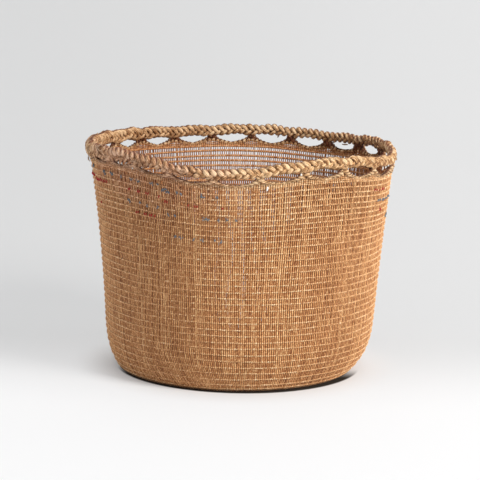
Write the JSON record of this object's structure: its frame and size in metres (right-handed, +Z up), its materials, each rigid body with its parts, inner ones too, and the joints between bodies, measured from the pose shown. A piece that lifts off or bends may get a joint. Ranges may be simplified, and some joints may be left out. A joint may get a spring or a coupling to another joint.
{
  "type": "open-weave carrying basket",
  "caption": "Open-weave carrying basket of twined grass: a round, slightly flared wall on a flat woven base, with the stems gathered into posts under a braided rim.",
  "frame": {"origin": "centre of the flat underside of the base, on the surface that the basket stands on", "axes": "+Z up along the basket's axis, -Y towards the front of the picture, +X to the right of the picture"},
  "size_m": [0.3048, 0.3047, 0.2279],
  "materials": {
    "base_straw": "matte",
    "stem_straw": "matte",
    "twining_straw": "matte",
    "braid_straw": "matte",
    "red_wool": "matte",
    "blue_wool": "matte"
  },
  "bodies": {
    "root": {"base": "base_straw", "warp_bundle_01": "stem_straw", "warp_bundle_02": "stem_straw", "warp_bundle_03": "stem_straw", "warp_bundle_04": "stem_straw", "warp_bundle_05": "stem_straw", "warp_bundle_06": "stem_straw", "warp_bundle_07": "stem_straw", "warp_bundle_08": "stem_straw", "warp_bundle_09": "stem_straw", "warp_bundle_10": "stem_straw", "warp_bundle_11": "stem_straw", "warp_bundle_12": "stem_straw", "warp_bundle_13": "stem_straw", "warp_bundle_14": "stem_straw", "warp_bundle_15": "stem_straw", "warp_bundle_16": "stem_straw", "warp_bundle_17": "stem_straw", "warp_bundle_18": "stem_straw", "warp_bundle_19": "stem_straw", "warp_bundle_20": "stem_straw", "warp_bundle_21": "stem_straw", "warp_bundle_22": "stem_straw", "weft_row_01": "twining_straw", "weft_row_02": "twining_straw", "weft_row_03": "twining_straw", "weft_row_04": "twining_straw", "weft_row_05": "twining_straw", "weft_row_06": "twining_straw", "weft_row_07": "twining_straw", "weft_row_08": "twining_straw", "weft_row_09": "twining_straw", "weft_row_10": "twining_straw", "weft_row_11": "twining_straw", "weft_row_12": "twining_straw", "weft_row_13": "twining_straw", "weft_row_14": "twining_straw", "weft_row_15": "twining_straw", "weft_row_16": "twining_straw", "weft_row_17": "twining_straw", "weft_row_18": "twining_straw", "weft_row_19": "twining_straw", "weft_row_20": "twining_straw", "weft_row_21": "twining_straw", "weft_row_22": "twining_straw", "weft_row_23": "twining_straw", "weft_row_24": "twining_straw", "weft_row_25": "twining_straw", "weft_row_26": "twining_straw", "weft_row_27": "twining_straw", "weft_row_28": "twining_straw", "weft_row_29": "twining_straw", "weft_row_30": "twining_straw", "weft_row_31": "twining_straw", "weft_row_32": "twining_straw", "weft_row_33": "twining_straw", "weft_row_34": "twining_straw", "rim_braid": "braid_straw"}
  },
  "joints": []
}
